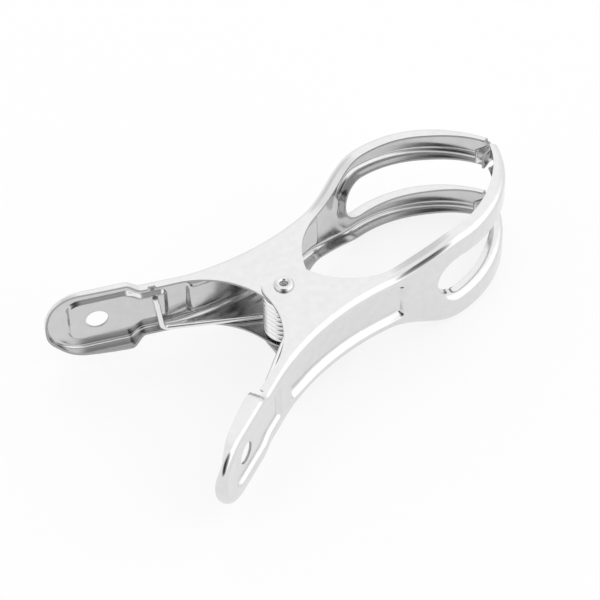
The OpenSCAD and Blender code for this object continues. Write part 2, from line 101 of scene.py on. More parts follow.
class ClothespinSheet(bpy.types.PropertyGroup):
    """Sizes of the two stamped levers."""

    thickness: length_prop("Sheet", "Thickness of the sheet", 0.6)
    pad_fold: length_prop("Pad fold", "Outer radius of the folded edge round the pad", 1.5)
    fold: length_prop("Edge fold", "Outer radius of the other folded edges", 2.1)
    fold_change: length_prop("Fold change", "Stretch over which the fold grows tighter to the pad", 9)
    edge: length_prop("Edge depth", "Depth of the folded edges", 3.6)
    neck_edge: length_prop("Neck edge", "Depth of the folded edges along the neck", 2.8)
    hook_edge: length_prop("Hook edge", "Depth of the pad's edge on the side of the spring's elbow", 4.4)
    tip_edge: length_prop("Tip edge", "Depth of the pad's edge on the side of the spring's tip", 2.4)
    corner_edge: length_prop("Corner edge", "Depth of the folded edge round the pad's corners", 1.9)
    end_edge: length_prop("End edge", "Depth of the folded edge at the handle's end", 2.7)
    nose_edge: length_prop("Nose edge", "Depth of the folded edges at the nose", 2.4)
    burr: length_prop("Rim rounding", "Rounding of the sheared rim left by tumbling", 0.09)
    reach: length_prop("Jaw reach", "Rivet to nose", 69)
    nose_gap: length_prop("Nose gap", "Gap of the closed noses", 0.3)
    nose_radius: length_prop("Nose fold", "Radius of the nose's fold", 1.2)
    nose_angle: angle_prop("Nose angle", "Angle between sheet and mouth at the nose", 66)
    lip: length_prop("Lip", "Length of the gripping lip", 3.4)
    lip_angle: angle_prop("Lip angle", "Angle between lip and mouth", 15)
    jaw_radius: length_prop("Bulge radius", "Radius of the jaw's bulge", 31.6)
    jaw_turn: angle_prop("Bulge turn", "Turn of the jaw's bulge", 82)
    bulge_to_waist: length_prop("Bulge to waist", "Straight stretch before the waist", 3)
    waist_radius: length_prop("Waist radius", "Radius of the waist's hollow", 70)
    waist_turn: angle_prop("Waist turn", "Turn of the waist's hollow", 41)
    handle: length_prop("Handle", "Straight length of the handle", 29.5)
    jaw_width: length_prop("Jaw width", "Width of the jaw", 28.6)
    nose_width: length_prop("Nose width", "Width at the nose", 27)
    nose_taper: length_prop("Nose taper", "Nose to the full jaw width", 27)
    flare: length_prop("Flare", "Length of the flare to the jaw", 20.5)
    flare_end: length_prop("Flare end", "Nose to the flare's wide end", 37)
    waist: length_prop("Waist", "Width of the inner lever's waist", 16)
    lap: length_prop("Lap", "Gap between the lapping cheeks", 0.1)
    pad_width: length_prop("Pad width", "Width of the finger pad", 20.2)
    pad_length: length_prop("Pad length", "Length of the finger pad", 20.5)
    pad_step: length_prop("Pad step", "Length of the step at the pad", 4)
    pad_corner: length_prop("Pad corner", "Corner radius of the pad", 9.5)
    slit_from_end: length_prop("Slit place", "Edge slit from the outer lever's end", 24.2)
    slit_width: length_prop("Slit", "Width of the edge slit", 1.5)
    notch_from_end: length_prop("Notch place", "Notch for the spring's tip from the lever's end", 26.9)
    notch_width: length_prop("Notch", "Width of that notch", 1.7)
    notch_floor: length_prop("Notch floor", "Depth of the folded edge at that notch", 2.1)
    hole: length_prop("Pad hole", "Diameter of the pad's hole", 5.6)
    hole_from_end: length_prop("Hole place", "Hole from the handle's end", 13)
    slot: length_prop("Slot", "Nose to the centre of the slot's root", 36.7)
    slot_root: length_prop("Slot root", "Width of the slot's root", 13)
    slot_nose: length_prop("Slot nose", "Width of the slot at the nose", 9.6)
    slot_edge: length_prop("Slot edge", "Depth of the slot's edge", 3.6)
    slot_fold: length_prop("Slot fold", "Radius of the slot's fold", 2.2)
    lobe: length_prop("Lobe", "Radius of a cheek's round end", 6.5)
    lobe_offset: length_prop("Lobe offset", "Lobe from the rivet", 0.9)
    handle_hollow: length_prop("Handle hollow", "Radius of a cheek's hollow by the handle", 22)
    jaw_hollow: length_prop("Jaw hollow", "Radius of a cheek's hollow by the jaw", 20.5)
    panel: length_prop("Panel depth", "Depth of the pressed panels", 1)
    panel_slope: length_prop("Panel slope", "Width of a panel's border", 1.5)
    waist_slope: length_prop("Waist slope", "Width of the waist panel's border along the lever's edges", 1.6)
    waist_depth: length_prop("Waist panel depth", "Depth of the pressed waist panel", 1.5)
    panel_margin: length_prop("Panel margin", "Handle panel to the lever's edges", 4.6)
    panel_from_end: length_prop("Panel place", "Handle panel to the lever's end", 5.5)
    panel_corner: length_prop("Panel corner", "Corner radius of the handle panel", 4)
    waist_panel_from_end: length_prop("Waist panel place", "Waist panel to the lever's end", 35.2)
    waist_panel: length_prop("Waist panel", "Length of the waist panel", 40.2)
    panel_band: length_prop("Panel band", "Plain band between the panels", 4.2)
    panel_mid: length_prop("Panel middle", "Waist panel's width in its middle", 11)
    panel_tip: length_prop("Panel ends", "Waist panel's width at its ends", 8)


class ClothespinWire(bpy.types.PropertyGroup):
    """Sizes of the spring and the rivet."""

    wire: length_prop("Wire", "Diameter of the spring's wire", 1.5)
    coil: length_prop("Coil radius", "Mean radius of the coil", 4.7)
    turns: IntProperty(name="Turns", description="Whole turns of the coil between the legs", default=8)
    pitch: length_prop("Pitch", "Rise of one turn", 1.56)
    leg_from_end: length_prop("Leg place", "Leg's tip from the handle's end", 27.5)
    leg_drop: length_prop("Leg drop", "Drop from the coil to the elbow", 0.07)
    leg_lean: length_prop("Leg lean", "Lean of a leg's cross end", 1.1)
    leg_depth: length_prop("Leg depth", "Leg below the lever's face", 2.8)
    leg_tip: length_prop("Leg tip", "Leg's tip above mid width", 4.3)
    elbow: length_prop("Elbow", "Radius of a leg's elbow", 1.6)
    rivet: length_prop("Rivet", "Outer diameter of the rivet's tube", 3)
    bore: length_prop("Rivet bore", "Bore of the rivet's tube", 1.8)
    head: length_prop("Rivet head", "Diameter of the rolled heads", 5)
    head_gap: length_prop("Head gap", "Rolled head to the cheek", 0.06)
    tight_play: length_prop("Inner play", "Radial play in the inner lever", 0.03)
    turning_play: length_prop("Outer play", "Radial play in the outer lever", 0.05)


class ClothespinLook(bpy.types.PropertyGroup):
    """Colours of the finishes and the stage."""

    sheet: colour_prop("Sheet", "Polished outer face", "#dfdfdf")
    # Colour of the inner faces, painted darker than the sheet's as painted shade of the levers' hollows
    inside: colour_prop("Inside", "Satin inner face", "#d0d0d0")
    rim: colour_prop("Rim", "Sheared rim of the sheet", "#a8a8a8")
    wire: colour_prop("Wire", "Drawn spring wire", "#ececec")
    rivet: colour_prop("Rivet", "Rolled rivet", "#dedede")
    bore: colour_prop("Bore", "Wall of the rivet's bore", "#e4e4e4")
    floor: colour_prop("Floor", "Pale floor", "#fbfbfb")


def share(k):
    """The value held between 0 and 1."""
    return min(max(k, 0.0), 1.0)


def soft(k):
    """Smooth step from 0 to 1."""
    k = share(k)
    return k * k * (3 - 2 * k)


# Share of a panel's border that its corner at the panel's flat takes up
TIGHT = 0.05


def pressed(k):
    """Share of a panel's depth across its border: a wide shoulder from the plain sheet, then a tight corner."""
    k = 1 - share(k)
    return 1 - math.sin(math.pi / 2 * (1 + TIGHT) * k * k / (k + TIGHT))


def spread(start, end, count):
    """Evenly spaced values, both ends included."""
    return [start + (end - start) * i / count for i in range(count + 1)]


def apart(values, least):
    """The values in order, without those nearer than the least step to the one before."""
    kept = []
    for value in sorted(values):
        if not kept or value - kept[-1] > least:
            kept.append(value)
    return kept


class Rim(NamedTuple):
    """Form of one folded edge along the handle: the cut in it, and its depth where the pad begins."""

    cut: float
    width: float
    floor: float
    depth: float
    start: float
    rise: float


class Lever:
    """Where a place on a lever's flat blank comes to lie once it is folded and pressed.

    u is the distance from the nose along the outer face, z the height above mid width and depth the
    distance below the outer face."""

    # Cells across the sheet: round a fold, down its rim, down the slot's rim, over the web's panel, border
    # and margin, and from the slot's fold to the edge's
    FOLD_CELLS = 8
    RIM_CELLS = 12
    SLOT_RIM_CELLS = 4
    WEB_CELLS = (7, 8, 3)
    FORK_CELLS = 8
    # Cells along the sheet, from the lip to the handle's end
    LIP_CELLS = 6
    NOSE_CELLS = 14
    PRONG_CELLS = 52
    ROOT_CELLS = 14
    FLARE_CELLS = 12
    HOLLOW_CELLS = 28
    LOBE_CELLS = 40
    HANDLE_CELLS = 44
    STEP_CELLS = 16
    SLOPE_CELLS = 8
    CORNER_CELLS = 14
    END_CELLS = 7
    # Slope of a cut's sides, least flat stretch beside a fold, plain stretch behind the slot's fold
    FLANK = 0.2 * MM
    FLAT = 0.35 * MM
    LAND = 2 * MM
    # Least step between cross lines, and from one of them to a line that a cut needs
    STEP = 0.09 * MM
    CLEAR = 0.13 * MM
    # Round the pad's corner: the first cross line, the least step between two, and the corner's middle
    FIRST_TURN = math.radians(1)
    TURN_STEP = math.radians(0.8)
    MID_CORNER = math.pi / 4

    def __init__(self, s, waist):
        self.s = s
        self.waist = waist
        nose_turn = math.pi - s.nose_angle + s.lip_angle
        self.nose = s.lip + nose_turn * s.nose_radius
        jaw = s.jaw_turn * s.jaw_radius
        self.waist_start = jaw + s.bulge_to_waist
        hollow = s.waist_turn * s.waist_radius
        self.runs = [
            (s.lip, 0.0), (self.nose - s.lip, 1 / s.nose_radius), (jaw, 1 / s.jaw_radius),
            (s.bulge_to_waist, 0.0), (hollow, -1 / s.waist_radius), (s.handle, 0.0),
        ]
        self.end = self.waist_start + hollow + s.handle
        self.corner = self.end - s.pad_corner
        self.step = self.end - s.pad_length - s.pad_step
        self.fork = s.slot + s.slot_root / 2 + s.slot_fold + self.LAND
        self.tip_rim = Rim(
            self.end - s.notch_from_end, s.notch_width, s.notch_floor, s.tip_edge, self.step, s.pad_step)
        self.hook_rim = self.tip_rim._replace(floor=s.neck_edge, depth=s.hook_edge)
        slit = self.end - s.slit_from_end
        self.slit_rim = Rim(slit, s.slit_width, s.pad_fold + self.FLAT, s.hook_edge, slit, s.slit_width / 2)
        self.outline = self.cheek_outline()
        self.cheek = (self.outline[0][0], self.outline[-1][0])
        waist_end = self.end - s.waist_panel_from_end
        self.waist_panel = (waist_end - s.waist_panel, waist_end)
        self.handle_panel = (waist_end + s.panel_band, self.end - s.panel_from_end)

    def pose(self, u):
        """Place and heading of the outer face's side curve."""
        s = self.s
        x = s.reach - s.nose_radius * (1 + math.sin(s.lip_angle)) - s.lip * math.cos(s.lip_angle)
        y = s.nose_gap / 2 + s.nose_radius * (1 - math.cos(s.lip_angle)) + s.lip * math.sin(s.lip_angle)
        heading = -s.lip_angle
        left = u + self.nose
        for i, (length, bend) in enumerate(self.runs):
            step = left if i == len(self.runs) - 1 else min(left, length)
            turn = step * bend
            if bend:
                x += (math.sin(heading + turn) - math.sin(heading)) / bend
                y -= (math.cos(heading + turn) - math.cos(heading)) / bend
            else:
                x += step * math.cos(heading)
                y += step * math.sin(heading)
            heading += turn
            left -= step
            if left <= 0:
                break
        return x, y, heading

    def at(self, u, z, depth):
        x, y, heading = self.pose(u)
        return Vector((x - depth * math.sin(heading), y + depth * math.cos(heading), z))

    def half_width(self, u):
        s = self.s
        return (
            self.waist
            + (s.jaw_width / 2 - self.waist) * soft((s.flare_end + s.flare - u) / s.flare)
            + (s.nose_width - s.jaw_width) / 2 * soft((s.nose_taper - u) / s.nose_taper)
            + (s.pad_width / 2 - self.waist) * soft((u - self.step) / s.pad_step)
        )

    def cheek_outline(self):
        """Free edge of a cheek as (u, depth): a round lobe at the rivet between two hollows."""
        s = self.s
        x, y, heading = self.pose(self.waist_start)
        hub = Vector((x + s.waist_radius * math.sin(heading), y - s.waist_radius * math.cos(heading)))
        lobe = Vector((s.lobe_offset, s.lobe_offset / 2))
        span = (lobe - hub).length
        e = (lobe - hub) / span

        def centre(hollow, rim, side):
            reach, arm = s.waist_radius + rim + hollow, s.lobe + hollow
            k = (reach * reach - arm * arm + span * span) / (2 * span)
            h = side * math.sqrt(reach * reach - k * k)
            return Vector((hub.x + k * e.x - h * e.y, hub.y + k * e.y + h * e.x))

        def bearing(a, b):
            return math.atan2(b.y - a.y, b.x - a.x)

        def arc(c, radius, start, end, count):
            return [c + radius * Vector((math.cos(a), math.sin(a))) for a in spread(start, end, count)]

        by_jaw, by_handle = centre(s.jaw_hollow, s.edge, 1), centre(s.handle_hollow, s.neck_edge, -1)
        start = bearing(lobe, by_jaw)
        sweep = (start - bearing(lobe, by_handle)) % (2 * math.pi)
        points = arc(by_jaw, s.jaw_hollow, bearing(by_jaw, hub), bearing(by_jaw, lobe), self.HOLLOW_CELLS)
        points += arc(lobe, s.lobe, start, start - sweep, self.LOBE_CELLS)[1:]
        points += arc(
            by_handle, s.handle_hollow, bearing(by_handle, lobe), bearing(by_handle, hub),
            self.HOLLOW_CELLS)[1:]
        outline = []
        for p in points:
            turned = math.atan2(hub.x - p.x, p.y - hub.y) % (2 * math.pi)
            u = self.waist_start + (heading - turned) * s.waist_radius
            outline.append((u, (p - hub).length - s.waist_radius))
        return outline

    def cheek_depth(self, u):
        i = min(max(bisect_right(self.outline, (u, 0)), 1), len(self.outline) - 1)
        (u0, d0), (u1, d1) = self.outline[i - 1], self.outline[i]
        return d0 + (d1 - d0) * share((u - u0) / (u1 - u0))

    def pad_depth(self, u, turn, rim):
        """Depth of the pad's edge, which grows shallow towards the corner."""
        s = self.s
        along = u - rim.start + turn * s.pad_corner
        k = share(along / (self.corner - rim.start + self.MID_CORNER * s.pad_corner))
        return s.corner_edge + (rim.depth - s.corner_edge) * (1 - k * k)

    def edge_depth(self, u, turn, rim):
        """Depth of the folded edge's free rim."""
        s = self.s
        if u < self.cheek[0]:
            return s.nose_edge + (s.edge - s.nose_edge) * soft(2 * u / s.slot)
        if u < self.cheek[1]:
            return self.cheek_depth(u)
        if turn > self.MID_CORNER:
            return s.corner_edge + (s.end_edge - s.corner_edge) * soft(turn / self.MID_CORNER - 1)
        pad = self.pad_depth(u, turn, rim)
        full = s.neck_edge + (pad - s.neck_edge) * soft((u - rim.start) / rim.rise)
        cut = share(1 - (abs(u - rim.cut) - rim.width / 2) / self.FLANK)
        return full - (full - rim.floor) * cut

    def fold(self, u):
        """Outer radius of the folded edge."""
        s = self.s
        before_notch = self.tip_rim.cut - s.notch_width - u
        return s.pad_fold + (s.fold - s.pad_fold) * soft(before_notch / s.fold_change)

    def fold_line(self, radius, depth, cells):
        """Cross section of a fold as (distance from the edge, depth), from the flat sheet to the rim."""
        bend = [(radius - radius * math.sin(a), radius - radius * math.cos(a))
                for a in spread(0, math.pi / 2, self.FOLD_CELLS)]
        return bend + [(0.0, d) for d in spread(radius, depth, cells)[1:]]

    def inside_edge(self, u, turn, o):
        """Place (u, z) at a distance inside the edge; turn is the angle round the pad's corner."""
        s = self.s
        if turn == 0:
            return u, self.half_width(u) - o
        inner = s.pad_corner - o
        middle = s.pad_width / 2 - s.pad_corner
        return self.corner + inner * math.sin(turn), middle + inner * math.cos(turn)

    def panel_half(self, u, top):
        """Half width of a pressed panel's flat; the handle panel's corners at the lever's end are round."""
        s = self.s
        if u > self.waist_panel[1]:
            into = min(max(u - self.handle_panel[1] + s.panel_corner, 0.0), s.panel_corner)
            drawn_in = s.panel_corner - math.sqrt(s.panel_corner ** 2 - into ** 2)
            wanted = self.half_width(u) - s.panel_margin - drawn_in
        else:
            k = min(abs(2 * (u - self.waist_panel[1]) / s.waist_panel + 1), 1)
            wanted = (s.panel_mid - (s.panel_mid - s.panel_tip) * k * k) / 2
        return min(wanted, max(top - self.side_slope(u) - self.FLAT, top / 3))

    def side_slope(self, u):
        """Width of a panel's border along the lever's edges."""
        return self.s.panel_slope if u > self.waist_panel[1] else self.s.waist_slope

    def dent(self, u):
        """Depth of the pressed panels at mid width."""
        s = self.s
        return sum(
            depth * pressed((u - a) / slope) * pressed((b - u) / slope)
            for (a, b), depth, slope in (
                (self.handle_panel, s.panel, s.panel_slope),
                (self.waist_panel, s.waist_depth, s.waist_slope)))

    def web_line(self, u, turn):
        """Half of the web across the lever as (z, depth), from mid width to the fold."""
        s = self.s
        row, top = self.inside_edge(u, turn, self.fold(u))
        panel = self.panel_half(row, top)
        slope = self.side_slope(row)
        border = panel + min(slope, (top - panel) / 2 if row > self.corner else slope)
        dent = self.dent(row)
        n = self.WEB_CELLS
        line = [(z, dent) for z in spread(0, panel, n[0])]
        line += [
            (z, dent * pressed((border - z) / (border - panel))) for z in spread(panel, border, n[1])[1:]]
        return line + [(z, 0.0) for z in spread(border, top, n[2])[1:]]

    def cross_line(self, u, turn, rim):
        """Half of the sheet across the lever, from mid width over the fold to the free rim."""
        row = self.inside_edge(u, turn, self.fold(u))[0]
        return [self.at(row, z, d) for z, d in self.web_line(u, turn)] + self.edge_line(u, turn, rim)[1:]

    def edge_line(self, u, turn, rim):
        """The folded edge alone, from the flat sheet to the free rim."""
        line = []
        for o, d in self.fold_line(self.fold(u), self.edge_depth(u, turn, rim), self.RIM_CELLS):
            row, z = self.inside_edge(u, turn, o)
            line.append(self.at(row, z, d))
        return line

    def panel_arc(self):
        """Places along the handle panel's round corners."""
        r = self.s.panel_corner
        return [self.handle_panel[1] - r + r * math.sin(a) for a in spread(0, math.pi / 2, self.CORNER_CELLS)]

    def stations(self, rims):
        """Places along the lever that get a cross line, from the fork to the pad's corner."""
        s = self.s
        waist_slope = spread(0, s.waist_slope, self.SLOPE_CELLS)
        places = spread(self.fork, self.cheek[0], self.FLARE_CELLS) + [u for u, _ in self.outline]
        places += spread(self.cheek[1], self.corner, self.HANDLE_CELLS)
        places += spread(self.step, self.step + s.pad_step, self.STEP_CELLS)
        places += [self.handle_panel[0] + k for k in spread(0, s.panel_slope, self.SLOPE_CELLS)]
        places += [self.waist_panel[0] + k for k in waist_slope]
        places += [self.waist_panel[1] - k for k in waist_slope]
        places += [u for u in self.panel_arc() if u < self.corner]
        keep = [
            rim.cut + side * (rim.width / 2 + d)
            for rim in rims for side in (-1, 1) for d in (0, self.FLANK)]
        keep = apart(keep + [self.fork, self.corner], self.STEP)
        rest = [p for p in places if all(abs(p - k) > self.CLEAR for k in keep)]
        return sorted(apart(rest, self.STEP) + keep)

    def turns(self):
        """Angles round the pad's corner that get a cross line."""
        s = self.s
        inner = s.pad_corner - s.pad_fold
        marks = self.panel_arc()
        marks += [self.handle_panel[1] - k for k in spread(0, s.panel_slope, self.SLOPE_CELLS)]
        turns = [math.asin((u - self.corner) / inner) for u in marks if u > self.corner]
        turns += spread(max(turns), math.pi / 2, self.END_CELLS)
        return apart([t for t in turns if t > self.FIRST_TURN], self.TURN_STEP)

    def slot_half(self, u):
        """Half width of the fork's slot."""
        s = self.s
        return (s.slot_nose + (s.slot_root - s.slot_nose) * u / s.slot) / 2

    def beside_slot(self, u, turn, o):
        """Place (u, z) at a distance from the slot's edge; turn is the angle round the slot's root."""
        s = self.s
        if turn < math.pi / 2:
            r = self.slot_half(s.slot) + o
            return s.slot + r * math.cos(turn), r * math.sin(turn)
        return u, self.slot_half(u) + o

    def fork_rows(self):
        """Places along the lever's edge that get a line to the slot, from the fork to the nose."""
        s = self.s
        return spread(self.fork, s.slot, self.ROOT_CELLS) + spread(s.slot, 0, self.PRONG_CELLS)[1:]

    def slot_line(self, u, z, turn):
        """From the slot's free rim over its fold to a place (u, z) on the lever's outer fold."""
        s = self.s
        depth = s.nose_edge + (s.slot_edge - s.nose_edge) * soft(2 * u / s.slot)
        line = []
        for o, d in reversed(self.fold_line(s.slot_fold, depth, self.SLOT_RIM_CELLS)):
            row, height = self.beside_slot(u, turn, o)
            line.append(self.at(row, height, d))
        row, height = self.beside_slot(u, turn, s.slot_fold)
        for k in spread(0, 1, self.FORK_CELLS)[1:]:
            line.append(self.at(row + (u - row) * k, height + (z - height) * k, 0.0))
        return line

    def sections(self, rim, rims):
        """The rows of points that each grid of half the blank is pressed onto."""
        s = self.s
        body = [self.cross_line(u, 0, rim) for u in self.stations(rims)]
        body += [self.cross_line(self.corner, t, rim) for t in self.turns()]
        heights = [z for z, _ in self.web_line(self.corner, math.pi / 2)]
        fold = self.fold_line(s.pad_fold, s.end_edge, self.RIM_CELLS)
        end = [[self.at(self.end - o, z, d) for z in heights] for o, d in fold]
        rows = self.fork_rows()
        jaw = [self.edge_line(u, 0, rim) for u in rows]
        fork = [
            self.slot_line(self.fork, z, math.atan2(z, self.fork - s.slot))
            for z, _ in self.web_line(self.fork, 0)]
        for u in rows[1:]:
            z = self.inside_edge(u, 0, self.fold(u))[1]
            fork.append(self.slot_line(u, z, math.atan2(z, u - s.slot) if u > s.slot else math.pi / 2))
        low = self.beside_slot(0, math.pi / 2, s.slot_fold)[1]
        high = self.inside_edge(0, 0, self.fold(0))[1]
        tongue = spread(-self.nose, s.lip - self.nose, self.LIP_CELLS)
        tongue += spread(s.lip - self.nose, 0, self.NOSE_CELLS)[1:]
        across = spread(0, 1, self.FORK_CELLS)
        lip = [[self.at(u, low + (high - low) * k, 0.0) for k in across] for u in tongue]
        return body, end, jaw, fork, lip


def press(bm, rows, half):
    """Lays a flat grid and moves each point to where the press takes it, in the upper or lower half."""
    down, across = len(rows) - 1, len(rows[0]) - 1
    made = bmesh.ops.create_grid(bm, x_segments=down, y_segments=across, size=1)
    for v in made["verts"]:
        v.co = rows[round((v.co.x + 1) / 2 * down)][round((v.co.y + 1) / 2 * across)]
        v.co.z *= half


# Sheet cleared round a punched hole, in radii and along its axis, and the hole's segments
CLEARED = 1.12
PUNCH_REACH = 2 * MM
HOLE_SEGMENTS = 40


def punch(bm, centre, axis, radius):
    """Punches a round hole: clears the sheet round it and fills up to a circle again."""
    axis = axis.normalized()

    def in_the_way(p):
        rel = p - centre
        along = rel.dot(axis)
        return (rel - axis * along).length < radius * CLEARED and abs(along) < PUNCH_REACH

    near = [f for f in bm.faces if any(in_the_way(v.co) for v in f.verts)]
    level = sum((f.calc_center_median() - centre).dot(axis) for f in near) / len(near)
    loose = {e for f in near for e in f.edges}
    bmesh.ops.delete(bm, geom=near, context="FACES")
    border = [e for e in loose if e.is_valid and e.is_boundary]
    turn = axis.to_track_quat("Z", "Y").to_matrix().to_4x4()
    ring = bmesh.ops.create_circle(
        bm, segments=HOLE_SEGMENTS, radius=radius, matrix=Matrix.Translation(centre + axis * level) @ turn)
    circle = {e for v in ring["verts"] for e in v.link_edges}
    bmesh.ops.triangle_fill(
        bm, use_beauty=True, use_dissolve=False, edges=border + list(circle), normal=axis)


# Edges sharper than this many degrees show as edges, on sheet and on round pieces
SHEET_SHARP = 60
ROUND_SHARP = 50


def finished(name, bm, materials, sharp):
    """Turns a bmesh into an object at the origin, shaded smooth but for edges sharper than the angle."""
    mesh = bpy.data.meshes.new(name)
    bm.to_mesh(mesh)
    bm.free()
    for material in materials:
        mesh.materials.append(material)
    mesh.shade_smooth()
    mesh.set_sharp_from_angle(angle=math.radians(sharp))
    obj = bpy.data.objects.new(name, mesh)
    bpy.context.scene.collection.objects.link(obj)
    return obj


def build_lever(name, lever, rims, bore, side):
    """One lever from its blank: both halves pressed, each with its own rim, punched and made thick."""
    s = lever.s
    bm = bmesh.new()
    for rim, half in zip(rims, (1, -1)):
        for rows in lever.sections(rim, rims):
            press(bm, rows, half)
    bmesh.ops.remove_doubles(bm, verts=bm.verts, dist=2 * WELD)
    hole = lever.at(lever.end - s.hole_from_end, 0, s.panel)
    heading = lever.pose(lever.end - s.hole_from_end)[2]
    inward = Vector((-math.sin(heading), math.cos(heading), 0))
    punch(bm, hole, inward, s.hole / 2)
    for z in (-lever.waist, lever.waist):
        punch(bm, Vector((0, 0, z)), Vector((0, 0, 1)), bore)
    bmesh.ops.scale(bm, vec=(1, side, 1), verts=bm.verts)
    inward.y *= side
    hole.y *= side
    bmesh.ops.recalc_face_normals(bm, faces=bm.faces)
    nearest = min(bm.faces, key=lambda f: (f.calc_center_median() - hole).length)
    if nearest.normal.dot(inward) > 0:
        bmesh.ops.reverse_faces(bm, faces=bm.faces)
    obj = finished(name, bm, [steel_outside(), steel_rim(), shaded_steel_inside()], SHEET_SHARP)
    wall = obj.modifiers.new("Sheet", "SOLIDIFY")
    wall.thickness = s.thickness
    wall.offset = -1
    wall.use_even_offset = True
    wall.material_offset = 2
    wall.material_offset_rim = 1
    rim = obj.modifiers.new("Tumbled rim", "BEVEL")
    rim.width = s.burr
    rim.segments = 2
    rim.limit_method = "ANGLE"
    rim.angle_limit = math.radians(55)
    rim.use_clamp_overlap = True
    flat = obj.modifiers.new("Flat faces", "WEIGHTED_NORMAL")
    flat.keep_sharp = True
    return obj


def node(tree, kind, links=None, values=None, **settings):
    """Adds a node with its settings, input values and links from (node, output) pairs."""
    made = tree.nodes.new(kind)
    for key, value in settings.items():
        setattr(made, key, value)
    for key, value in (values or {}).items():
        made.inputs[key].default_value = value
    for key, (source, output) in (links or {}).items():
        tree.links.new(source.outputs[output], made.inputs[key])
    return made


def metal(name, colour, roughness):
    """A metal's material with its shader, ready for its grain."""
    material = bpy.data.materials.get(name)
    if material:
        return material, None, None
    material = bpy.data.materials.new(name)
    material.use_nodes = True
    tree = material.node_tree
    shader = tree.nodes["Principled BSDF"]
    shader.inputs["Base Color"].default_value = colour
    shader.inputs["Metallic"].default_value = 1.0
    shader.inputs["Roughness"].default_value = roughness
    return material, tree, shader


def steel_strip(name, colour, low, high):
    """Stainless strip with the traces of tumbling: faint stains and orange peel, and clouds of fine scuffs."""
    material, tree, shader = metal(name, colour, low)
    if tree is None:
        return material
    place = node(tree, "ShaderNodeTexCoord")
    # Orange peel of the tumbling, in cells of 1.25 mm
    peel = node(
        tree, "ShaderNodeTexNoise", {"Vector": (place, "Object")}, {"Scale": 1 / (1.25 * MM), "Detail": 2.0})
    # Scuff clouds, 6.25 mm across
    scuff = node(
        tree, "ShaderNodeTexNoise", {"Vector": (place, "Object")}, {"Scale": 1 / (6.25 * MM), "Detail": 5.0})
    rough = node(
        tree, "ShaderNodeMapRange", {"Value": (scuff, "Fac")},
        {"From Min": 0.35, "From Max": 0.7, "To Min": low, "To Max": high})
    tree.links.new(rough.outputs["Result"], shader.inputs["Roughness"])
    # Stains of the polishing soap, 2 mm across
    stain = node(
        tree, "ShaderNodeTexNoise", {"Vector": (place, "Object")}, {"Scale": 1 / (2 * MM), "Detail": 4.0})
    pale = node(
        tree, "ShaderNodeMapRange", {"Value": (stain, "Fac")},
        {"From Min": 0.3, "From Max": 0.7, "To Min": 0.97, "To Max": 1.02})
    tone = node(
        tree, "ShaderNodeVectorMath", {"Scale": (pale, "Result")}, {0: colour[:3]}, operation="SCALE")
    tree.links.new(tone.outputs["Vector"], shader.inputs["Base Color"])
    bump = node(tree, "ShaderNodeBump", {"Height": (peel, "Fac")}, {"Strength": 0.08, "Distance": 0.02 * MM})
    tree.links.new(bump.outputs["Normal"], shader.inputs["Normal"])
    return material


def steel_outside():
    # Bright-annealed stainless strip, stamped and tumble-polished: a near mirror, a little softened.
    return steel_strip("polished_stainless_strip", bpy.context.scene.clothespin_look.sheet, 0.1, 0.2)


def shaded_steel_inside():
    # The hollow side of that strip, which the polishing stones hardly reach, with satin reflections; its colour
    # is painted darker than the outer face's, as painted shade of the levers' hollows.
    return steel_strip("satin_stainless_painted_shade", bpy.context.scene.clothespin_look.inside, 0.14, 0.26)


def grained(name, colour, grain, detail, roughness, strength, height):
    """A metal whose gloss and relief follow one fine grain; roughness is the least, the plain and the most."""
    least, plain, most = roughness
    material, tree, shader = metal(name, colour, plain)
    if tree is None:
        return material
    place = node(tree, "ShaderNodeTexCoord")
    marks = node(
        tree, "ShaderNodeTexNoise", {"Vector": (place, "Object")}, {"Scale": 1 / grain, "Detail": detail})
    rough = node(tree, "ShaderNodeMapRange", {"Value": (marks, "Fac")}, {"To Min": least, "To Max": most})
    tree.links.new(rough.outputs["Result"], shader.inputs["Roughness"])
    bump = node(tree, "ShaderNodeBump", {"Height": (marks, "Fac")}, {"Strength": strength, "Distance": height})
    tree.links.new(bump.outputs["Normal"], shader.inputs["Normal"])
    return material


def steel_rim():
    # Sheared rim of the same strip: matt and greyer, with the torn grain of the cut, drawn coarse to show.
    return grained(
        "sheared_stainless_rim", bpy.context.scene.clothespin_look.rim, grain=0.25 * MM, detail=3.0,
        roughness=(0.22, 0.32, 0.42), strength=0.2, height=0.03 * MM)


def spring_steel():
    # Hard-drawn wire, nickel-plated: bright, with the faint marks of the drawing die, drawn coarse to show.
    return grained(
        "drawn_spring_wire", bpy.context.scene.clothespin_look.wire, grain=0.4 * MM, detail=3.0,
        roughness=(0.1, 0.16, 0.24), strength=0.1, height=0.02 * MM)


def rivet_steel():
    # Soft steel rivet, nickel-plated and rolled over: bright, with faint tool marks, drawn coarse to show.
    return grained(
        "rolled_rivet_nickel", bpy.context.scene.clothespin_look.rivet, grain=MM / 3, detail=2.0,
        roughness=(0.1, 0.15, 0.25), strength=0.12, height=0.02 * MM)


def rivet_inside():
    # Wall of the rivet's bore, dulled by drawing soap and oxide: pale and dead matt, so that light from the
    # mouth spreads down it.
    material, tree, shader = metal("oxide_dulled_bore", bpy.context.scene.clothespin_look.bore, 0.9)
    if tree:
        shader.inputs["Metallic"].default_value = 0.0
    return material


def inner_shape():
    """The lever whose cheeks lie inside."""
    s = bpy.context.scene.clothespin_sheet
    return Lever(s, s.waist / 2)


def outer_shape():
    """The same lever, wider on each side by a sheet and the lap, so that its cheeks lie outside."""
    s = bpy.context.scene.clothespin_sheet
    return Lever(s, s.waist / 2 + s.thickness + s.lap)


